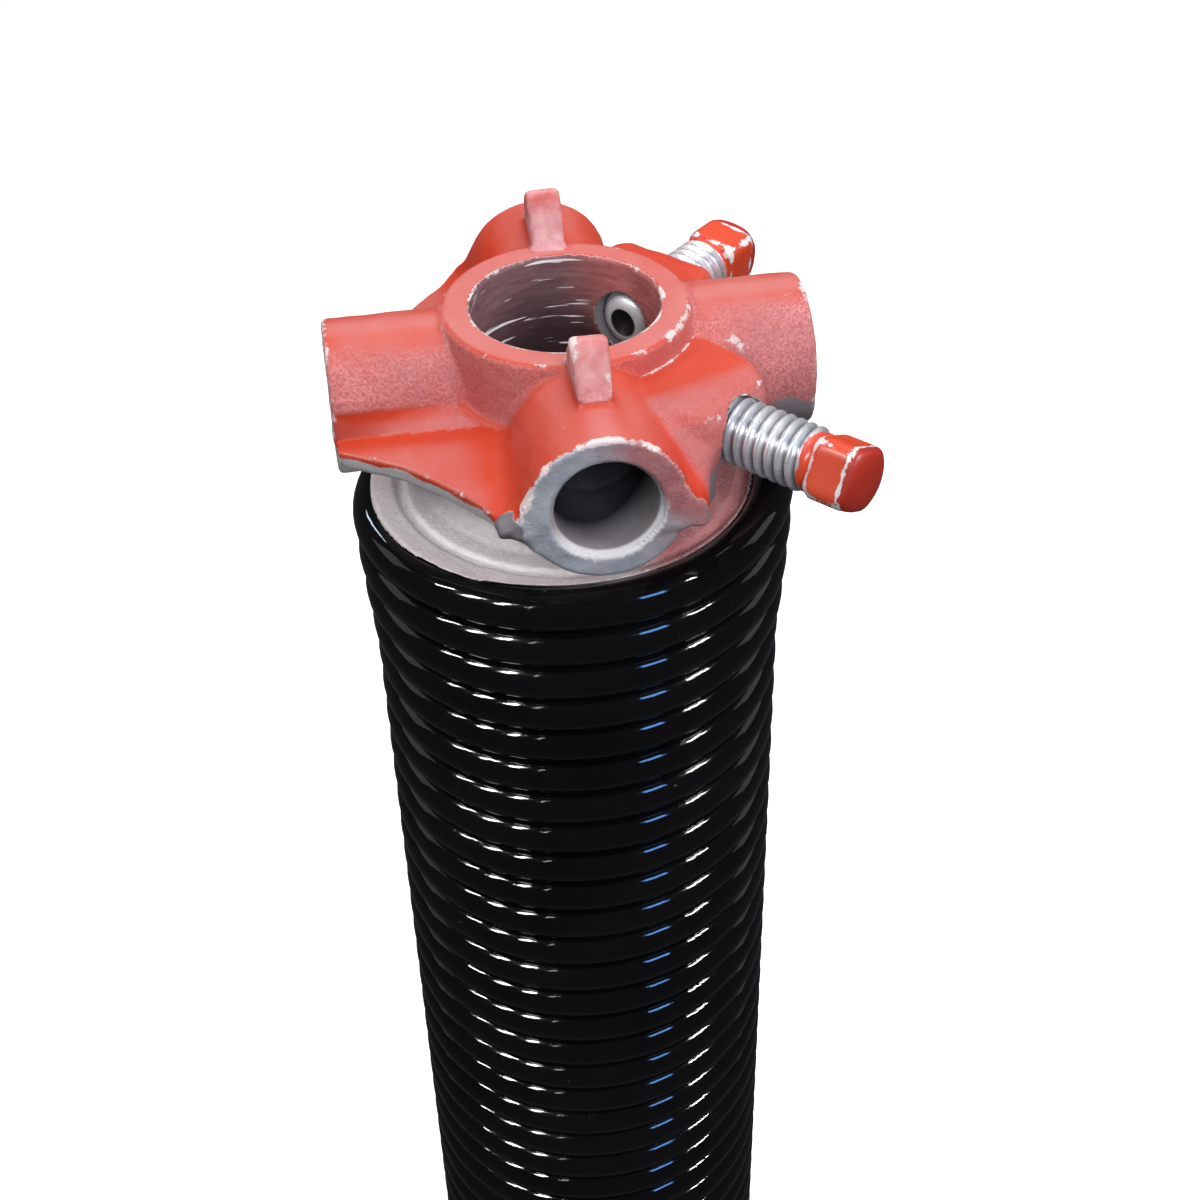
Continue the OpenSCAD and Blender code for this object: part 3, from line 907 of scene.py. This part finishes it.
def casting_material():
    mat, nt, bsdf = new_material("sprayed_casting")
    g = Net(nt)
    paint, sandy, edge, painted_shade_hollow = g.attr("paint"), g.attr("sandy"), g.attr("edge"), g.attr("painted_shade_hollow")
    painted_sheen, face, hole, bore = g.attr("painted_sheen"), g.attr("face"), g.attr("hole"), g.attr("bore")
    glint_side, low = g.attr("glint_side_bore"), g.attr("low")
    painted_top_sheen, neck, tint = g.attr("painted_top_sheen"), g.attr("neck"), g.attr("tint")
    grain = g.noise(900, 5, 0.6)
    speck = g.noise(2500, 3, 0.6)
    cloud = g.noise(110, 4, 0.6)
    broad = g.noise(38, 3, 0.5)
    # bare cast aluminium
    bare = g.mix(g.ramp(grain, [(0.36, 0.0), (0.64, 1.0)]), (0.88, 0.85, 0.865), (0.98, 0.96, 0.98))
    bare = g.mix(g.ramp(cloud, [(0.4, 0.0), (0.7, 0.55)]), bare, (0.84, 0.77, 0.79))
    # painted shade: the cone below the flange is darker
    bare = g.mix(g.math("MULTIPLY", low, 0.35), bare, (0.3, 0.3, 0.31))
    # painted shade: bare metal darkened round the hub's neck and under the sockets and bosses
    bare = g.mix(g.math("MULTIPLY", neck, 0.85), bare, (0.20, 0.155, 0.18))
    # machined socket faces, blue-grey with fine turning marks
    rings = g.noise(420, 3, 0.5)
    faced = g.mix(g.ramp(rings, [(0.4, 0.0), (0.65, 1.0)]), (0.38, 0.405, 0.47), (0.49, 0.515, 0.59))
    bare = g.mix(face, bare, faced)
    tinge = g.mix(g.ramp(cloud, [(0.35, 0.0), (0.65, 1.0)]), (0.45, 0.115, 0.12), (0.58, 0.20, 0.205))
    bare = g.mix(g.math("MULTIPLY", tint, g.ramp(speck, [(0.3, 0.7), (0.6, 1.0)]), True), bare, tinge)
    # hole walls: painted shade, pale grey near the mouth and near black deeper in
    walls = g.mix(g.ramp(g.math("ADD", g.attr("inward"), g.math("MULTIPLY", g.math("SUBTRACT", cloud, 0.5), 0.12)), [(0.35, 1.0), (0.50, 0.0)]), g.mix(g.ramp(cloud, [(0.4, 0.0), (0.65, 1.0)]), (0.026, 0.026, 0.034), (0.048, 0.047, 0.057)), g.mix(g.ramp(cloud, [(0.4, 0.0), (0.65, 1.0)]), (0.40, 0.37, 0.395), (0.55, 0.51, 0.54)))
    bare = g.mix(hole, bare, walls)
    # painted light: the lower chamfer inside each socket's mouth is near white
    bare = g.mix(g.math("MULTIPLY", g.attr("painted_light_lip"), g.ramp(g.attr("inset"), [(0.045, 0.9), (0.065, 0.0)])), bare, (0.92, 0.90, 0.93))
    # bore: brown-grey with level scratches, painted near white as glints on the side that catches the light, and darker
    # grey-brown there
    lines = g.noise(84, 2, 0.5, g.stretch(1, 1, 13))
    scratch_and_glint = g.math("MULTIPLY", g.ramp(lines, [(0.598, 0.0), (0.61, 1.0)]), g.math("MULTIPLY", g.ramp(glint_side, [(0.38, 0.0), (0.72, 1.0)]), g.ramp(g.noise(150, 3, 0.5), [(0.40, 0.0), (0.52, 1.0)])))
    tool = g.noise(260, 4, 0.55, g.stretch(1, 1, 6))
    wall = g.mix(g.ramp(tool, [(0.38, 0.0), (0.66, 1.0)]), (0.44, 0.125, 0.12), (0.60, 0.21, 0.205))
    wall = g.mix(g.math("MULTIPLY", glint_side, 0.8), wall, g.mix(g.ramp(tool, [(0.38, 0.0), (0.66, 1.0)]), (0.145, 0.105, 0.12), (0.20, 0.15, 0.17)))
    # painted shade: the bore darkens to near black deeper down
    wall = g.mix(g.math("MULTIPLY", g.ramp(g.math("ADD", g.attr("painted_depth_shade"), g.math("MULTIPLY", g.math("SUBTRACT", cloud, 0.5), 0.1)), [(0.215, 0.0), (0.32, 1.0)]), 0.9), wall, (0.048, 0.030, 0.034))
    wall = g.mix(scratch_and_glint, wall, (0.95, 0.92, 0.94))
    bare = g.mix(bore, bare, wall)
    # paint: orange-red, paler pink on upward faces as a painted sheen
    red = g.mix(g.ramp(broad, [(0.38, 0.0), (0.62, 1.0)]), (0.585, 0.048, 0.017), (0.60, 0.065, 0.029))
    soft = g.mix(g.ramp(cloud, [(0.35, 0.0), (0.7, 1.0)]), (0.58, 0.115, 0.094), (0.59, 0.158, 0.136))
    cover = g.mix(g.math("MULTIPLY", painted_sheen, g.lerp(g.ramp(cloud, [(0.35, 0.6), (0.65, 1.0)]), 0.45, 1.0), True), red, soft)
    # painted shade: deeper orange in hollows and along the webs' creases
    cover = g.mix(g.math("MULTIPLY", painted_shade_hollow, 0.75, True), cover, (0.56, 0.045, 0.015))
    # painted sheen: the hub's top and the ribs' lower parts are paler pink
    cover = g.mix(g.math("MULTIPLY", painted_top_sheen, g.ramp(cloud, [(0.3, 0.6), (0.65, 1.0)]), True), cover, (0.62, 0.215, 0.205))
    # sandy overspray: mauve and pink grains over grey
    dust = g.mix(g.ramp(speck, [(0.38, 0.0), (0.6, 1.0)]), (0.50, 0.140, 0.143), (0.72, 0.278, 0.276))
    dust = g.mix(g.math("MULTIPLY", g.attr("mauve"), g.ramp(speck, [(0.3, 1.0), (0.65, 0.7)]), True), dust, (0.40, 0.165, 0.180))
    dust = g.mix(g.ramp(cloud, [(0.38, 0.0), (0.66, 0.6)]), dust, (0.46, 0.155, 0.165))
    cover = g.mix(g.math("MULTIPLY", sandy, g.ramp(g.noise(60, 5, 0.65), [(0.3, 0.55), (0.6, 1.0)]), True), cover, dust)
    # the ribs are the thinnest: pale pink over grey
    cover = g.mix(g.math("MULTIPLY", g.attr("rib"), g.ramp(g.noise(170, 3, 0.55), [(0.36, 0.35), (0.56, 1.0)]), True), cover, g.mix(g.ramp(g.noise(420, 4, 0.6), [(0.36, 0.0), (0.62, 1.0)]), (0.62, 0.28, 0.30), (0.80, 0.47, 0.49)))
    # worn edges
    chips = g.math("ADD", edge, g.math("MULTIPLY", g.math("SUBTRACT", g.noise(330, 6, 0.68), 0.5), 2.1))
    chips = g.math("ADD", chips, g.math("MULTIPLY", g.math("SUBTRACT", broad, 0.5), 1.2))
    worn = g.ramp(chips, [(0.50, 0.0), (0.66, 1.0)])
    worn = g.math("MULTIPLY", worn, g.ramp(edge, [(0.08, 0.0), (0.3, 1.0)]))
    keep = g.math("SUBTRACT", 1.0, g.math("MULTIPLY", worn, 0.9))
    # the paint's own border is ragged
    ragged = g.math("ADD", paint, g.math("MULTIPLY", g.math("SUBTRACT", g.noise(620, 5, 0.62), 0.5), 0.62))
    on = g.math("MULTIPLY", g.ramp(ragged, [(0.38, 0.0), (0.62, 1.0)]), keep, True)
    chipped = g.mix(worn, bare, (0.80, 0.70, 0.71))
    colour = g.mix(on, chipped, cover)
    g.link(colour, bsdf.inputs["Base Color"])
    metal = g.math("MULTIPLY", g.math("SUBTRACT", 1.0, on), g.lerp(hole, 0.08, 0.0), True)
    metal = g.math("MULTIPLY", metal, g.math("SUBTRACT", 1.0, g.math("MULTIPLY", scratch_and_glint, bore)), True)
    g.link(metal, bsdf.inputs["Metallic"])
    smoothness = g.lerp(sandy, 0.40, 0.62)
    g.link(g.math("MULTIPLY", g.lerp(on, 0.5, 0.24), g.lerp(g.math("MAXIMUM", hole, bore), 1.0, 0.12)), bsdf.inputs["Specular IOR Level"])
    rough = g.lerp(on, g.lerp(bore, 0.52, 0.48), smoothness)
    rough = g.math("ADD", rough, g.math("MULTIPLY", g.math("SUBTRACT", grain, 0.5), 0.18), True)
    g.link(rough, bsdf.inputs["Roughness"])
    # cast texture
    height = g.math("ADD", g.math("MULTIPLY", grain, g.lerp(sandy, 0.25, 1.0)), g.math("MULTIPLY", speck, g.lerp(sandy, 0.1, 0.8)))
    height = g.math("ADD", height, g.math("MULTIPLY", worn, -0.5))
    height = g.math("ADD", height, g.math("MULTIPLY", g.math("MULTIPLY", tool, bore), 0.1))
    normal = g.bump(height, 0.55, 0.00035)
    g.link(normal, bsdf.inputs["Normal"])
    return mat


def spring_material():
    mat, nt, bsdf = new_material("glossy_black_wire")
    g = Net(nt)
    cloud = g.noise(45, 4, 0.6)
    spots = g.noise(420, 3, 0.6)
    dust = g.math("MULTIPLY", g.ramp(spots, [(0.70, 0.0), (0.76, 1.0)]), g.ramp(cloud, [(0.5, 0.0), (0.62, 1.0)]))
    colour = g.mix(g.ramp(cloud, [(0.35, 0.0), (0.7, 1.0)]), (0.0022, 0.0021, 0.0026), (0.0045, 0.0042, 0.005))
    colour = g.mix(g.math("MULTIPLY", dust, 0.5), colour, (0.16, 0.14, 0.14))
    g.link(colour, bsdf.inputs["Base Color"])
    rough = g.lerp(g.ramp(cloud, [(0.35, 0.0), (0.7, 1.0)]), 0.045, 0.085)
    rough = g.lerp(dust, rough, 0.6)
    g.link(rough, bsdf.inputs["Roughness"])
    bsdf.inputs["Specular IOR Level"].default_value = 0.5
    peel = g.noise(260, 3, 0.5)
    g.link(g.bump(peel, 0.16, 0.0003), bsdf.inputs["Normal"])
    return mat


def screw_material():
    mat, nt, bsdf = new_material("zinc_screw_with_sprayed_head")
    g = Net(nt)
    paint, wear, crown, crest = g.attr("paint"), g.attr("wear"), g.attr("crown"), g.attr("crest")
    grain = g.noise(800, 4, 0.6)
    cloud = g.noise(150, 4, 0.6)
    zinc = g.mix(g.ramp(cloud, [(0.38, 0.0), (0.65, 1.0)]), (0.67, 0.70, 0.76), (0.95, 0.97, 1.0))
    # painted shade: the thread roots darker than the crests
    zinc = g.mix(g.math("SUBTRACT", 1.0, g.ramp(crest, [(0.0, 0.25), (0.6, 1.0)])), zinc, (0.20, 0.21, 0.24))
    zinc = g.mix(g.attr("point"), zinc, (0.80, 0.81, 0.84))
    # painted shade: the cup point's hollow near black
    zinc = g.mix(g.attr("cup"), zinc, (0.02, 0.02, 0.025))
    red = g.mix(g.ramp(cloud, [(0.35, 0.0), (0.68, 1.0)]), (0.68, 0.062, 0.020), (0.72, 0.088, 0.038))
    red = g.mix(g.math("MULTIPLY", crown, 0.85), red, (0.40, 0.026, 0.016))
    chips = g.math("ADD", wear, g.math("MULTIPLY", g.math("SUBTRACT", g.noise(480, 6, 0.7), 0.5), 1.7))
    worn = g.math("MULTIPLY", g.ramp(chips, [(0.55, 0.0), (0.68, 1.0)]), g.ramp(wear, [(0.1, 0.0), (0.3, 1.0)]))
    ragged = g.math("ADD", paint, g.math("MULTIPLY", g.math("SUBTRACT", g.noise(600, 5, 0.65), 0.5), 0.9))
    on = g.math("MULTIPLY", g.ramp(ragged, [(0.42, 0.0), (0.6, 1.0)]), g.math("SUBTRACT", 1.0, worn), True)
    worn_zinc = g.mix(worn, zinc, (0.86, 0.84, 0.88))
    g.link(g.mix(on, worn_zinc, red), bsdf.inputs["Base Color"])
    g.link(g.math("MULTIPLY", g.math("SUBTRACT", 1.0, on), g.lerp(g.math("MAXIMUM", worn, g.math("MULTIPLY", g.attr("point"), 0.6)), 0.62, 0.15), True), bsdf.inputs["Metallic"])
    rough = g.lerp(on, 0.30, 0.33)
    rough = g.math("ADD", rough, g.math("MULTIPLY", g.math("SUBTRACT", grain, 0.5), 0.2), True)
    g.link(rough, bsdf.inputs["Roughness"])
    height = g.math("ADD", g.math("MULTIPLY", grain, 0.35), g.math("MULTIPLY", worn, -0.6))
    g.link(g.bump(height, 0.4, 0.0002), bsdf.inputs["Normal"])
    return mat


def base_material():
    mat, nt, bsdf = new_material("bare_cast_aluminium")
    g = Net(nt)
    edge, painted_shade_hollow, machined = g.attr("edge"), g.attr("painted_shade_hollow"), g.attr("machined")
    grain = g.noise(900, 5, 0.6)
    cloud = g.noise(90, 4, 0.6)
    cast = g.mix(g.ramp(grain, [(0.36, 0.0), (0.64, 1.0)]), (0.46, 0.455, 0.46), (0.70, 0.695, 0.70))
    cast = g.mix(g.ramp(cloud, [(0.4, 0.0), (0.7, 0.6)]), cast, (0.36, 0.34, 0.34))
    cast = g.mix(g.math("MULTIPLY", edge, 0.6), cast, (0.68, 0.675, 0.68))
    # painted shade: darker grey in hollows
    cast = g.mix(g.math("MULTIPLY", painted_shade_hollow, 0.5), cast, (0.25, 0.245, 0.245))
    lines = g.noise(200, 4, 0.6, g.stretch(1, 1, 8))
    cut = g.mix(g.ramp(lines, [(0.4, 0.0), (0.65, 1.0)]), (0.36, 0.36, 0.37), (0.6, 0.6, 0.61))
    g.link(g.mix(machined, cast, cut), bsdf.inputs["Base Color"])
    g.link(g.lerp(machined, 0.6, 0.85), bsdf.inputs["Metallic"])
    rough = g.lerp(machined, 0.55, 0.34)
    g.link(g.math("ADD", rough, g.math("MULTIPLY", g.math("SUBTRACT", grain, 0.5), 0.2), True), bsdf.inputs["Roughness"])
    g.link(g.bump(g.math("ADD", grain, g.math("MULTIPLY", lines, g.math("MULTIPLY", machined, 0.6))), 0.5, 0.0003), bsdf.inputs["Normal"])
    return mat


for ob, mat in ((cone, casting_material()), (spring, spring_material()), (base, base_material())):
    ob.data.materials.clear()
    ob.data.materials.append(mat)
screw_mat = screw_material()
for ob in (screw_f, screw_r):
    ob.data.materials.clear()
    ob.data.materials.append(screw_mat)

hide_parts("winding_cone")
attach(cone, "winding_end")
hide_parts("set_screw_front")
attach(screw_f, "front_screw")
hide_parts("set_screw_rear")
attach(screw_r, "rear_screw")
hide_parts("stationary_cone")
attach(base, "anchored_end")
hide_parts("spring")
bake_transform(spring)

# ---------------------------------------------------------------- floor, lights, camera
bpy.ops.mesh.primitive_plane_add(size=40, location=(0, 0, 0))
floor = bpy.context.object
floor.name = "floor"
fmat, fnt, fb = new_material("pale_floor")
fb.inputs["Base Color"].default_value = (0.86, 0.86, 0.86, 1)
fb.inputs["Roughness"].default_value = 0.9
fb.inputs["Emission Color"].default_value = (1, 1, 1, 1)
fb.inputs["Emission Strength"].default_value = 0.6
floor.data.materials.append(fmat)
floor.visible_glossy = False
floor.visible_diffuse = False

world = bpy.data.worlds.new("studio")
scene.world = world
world.use_nodes = True
wn = world.node_tree
wn.nodes.clear()
wo = wn.nodes.new("ShaderNodeOutputWorld")
wb = wn.nodes.new("ShaderNodeBackground")
wb2 = wn.nodes.new("ShaderNodeBackground")
wm = wn.nodes.new("ShaderNodeMixShader")
lp = wn.nodes.new("ShaderNodeLightPath")
wb.inputs[0].default_value = (0.9, 0.92, 1.0, 1)
wb.inputs[1].default_value = 0.06
wb2.inputs[0].default_value = (1, 1, 1, 1)
wb2.inputs[1].default_value = 1.0
wn.links.new(lp.outputs["Is Camera Ray"], wm.inputs[0])
wn.links.new(wb.outputs[0], wm.inputs[1])
wn.links.new(wb2.outputs[0], wm.inputs[2])
wn.links.new(wm.outputs[0], wo.inputs[0])

TARGET = Vector((0, 0, (HUB - 20) * MM))
CAM_AZ = -97.5


def area(name, beta, elev, dist, width, height, power, colour=(1, 1, 1), target=TARGET):
    """A soft box at an angle beta round the object from the camera's side, and elev degrees up."""
    a, e = math.radians(CAM_AZ + beta), math.radians(elev)
    place = target + Vector((math.cos(a) * math.cos(e), math.sin(a) * math.cos(e), math.sin(e))) * dist
    light = bpy.data.lights.new(name, "AREA")
    light.shape = "RECTANGLE"
    light.size, light.size_y = width, height
    light.energy = power
    light.color = colour
    ob = bpy.data.objects.new(name, light)
    ob.location = place
    ob.rotation_euler = (target - place).to_track_quat("-Z", "Y").to_euler()
    scene.collection.objects.link(ob)
    return ob


lamps = [
    area("over", 150, 76, 1.7, 1.5, 1.1, 18.4, (1.0, 0.985, 0.975)),
    area("behind", 178, 42, 1.8, 1.5, 0.7, 11, (1.0, 0.97, 0.98)),
    area("front", 16, 36, 1.9, 1.2, 0.8, 23, (0.97, 0.985, 1.0)),
    area("right_fill", 84, 28, 2.2, 1.0, 1.0, 15.5, (1.0, 0.97, 0.95)),
    area("left_fill", -80, 34, 2.2, 1.0, 1.0, 17, (1.0, 0.98, 0.97)),
]
# the broad soft boxes light the shapes; the narrow strips below make the glints
for lamp in lamps:
    lamp.visible_glossy = False
glints = [
    area("above_glint", 170, 66, 2.2, 1.6, 0.5, 2.2, (1.0, 0.98, 0.98)),
    area("left_strip_0", -85, 44, 1.6, 0.05, 0.3, 5.0, (1.0, 0.97, 0.94)),
    area("left_strip_1", -65, 44, 1.6, 0.12, 0.3, 10.0, (1.0, 0.97, 0.94)),
    area("left_strip_2", -45, 44, 1.6, 0.12, 0.3, 8.0, (1.0, 0.97, 0.94)),
    area("left_strip_3", -29, 44, 1.6, 0.04, 0.3, 0.4, (1.0, 0.97, 0.94)),
    area("left_rim", -142, 30, 1.8, 0.12, 0.4, 2.0, (0.7, 0.85, 1.0)),
    area("right_blue", 38, 40, 1.6, 0.30, 0.26, 4.2, (0.16, 0.42, 1.0)),
    area("right_spot_0", 64, 44, 1.6, 0.03, 0.22, 3.0, (1.0, 0.98, 0.95)),
    area("right_spot_1", 69, 44, 1.6, 0.03, 0.22, 4.0, (1.0, 0.98, 0.95)),
    area("right_spot_2", 74, 44, 1.6, 0.03, 0.22, 3.0, (1.0, 0.98, 0.95)),
    area("right_sheen", 105, 25, 2.0, 0.7, 0.7, 1.2, (1.0, 0.98, 0.95)),
    area("left_sheen", -110, 25, 2.0, 0.7, 0.7, 1.0, (1.0, 0.95, 0.9)),
]
for lamp in glints:
    lamp.visible_diffuse = False

yaw, pitch, roll = math.radians(0.9121), math.radians(38.574), math.radians(-1.623)
fwd = Vector((math.sin(yaw) * math.cos(pitch), math.cos(yaw) * math.cos(pitch), -math.sin(pitch)))
right = Vector((math.cos(yaw), -math.sin(yaw), 0))
up = right.cross(fwd)
c, s = math.cos(roll), math.sin(roll)
right, up = c * right + s * up, c * up - s * right
turn = Matrix.Rotation(math.radians(-7.5), 3, "Z")
right, up, back = turn @ right, turn @ up, turn @ (-fwd)
place = turn @ Vector((0, -233.38, 132.20)) + Vector((0, 0, HUB))
cam_data = bpy.data.cameras.new("camera")
cam = bpy.data.objects.new("camera", cam_data)
scene.collection.objects.link(cam)
cam.matrix_world = Matrix((
    (right.x, up.x, back.x, place.x * MM),
    (right.y, up.y, back.y, place.y * MM),
    (right.z, up.z, back.z, place.z * MM),
    (0, 0, 0, 1)))
cam_data.sensor_width = 36.0
cam_data.lens = 56.505
cam_data.clip_start = 0.01
cam_data.clip_end = 100
scene.camera = cam

scene.view_settings.view_transform = "Standard"
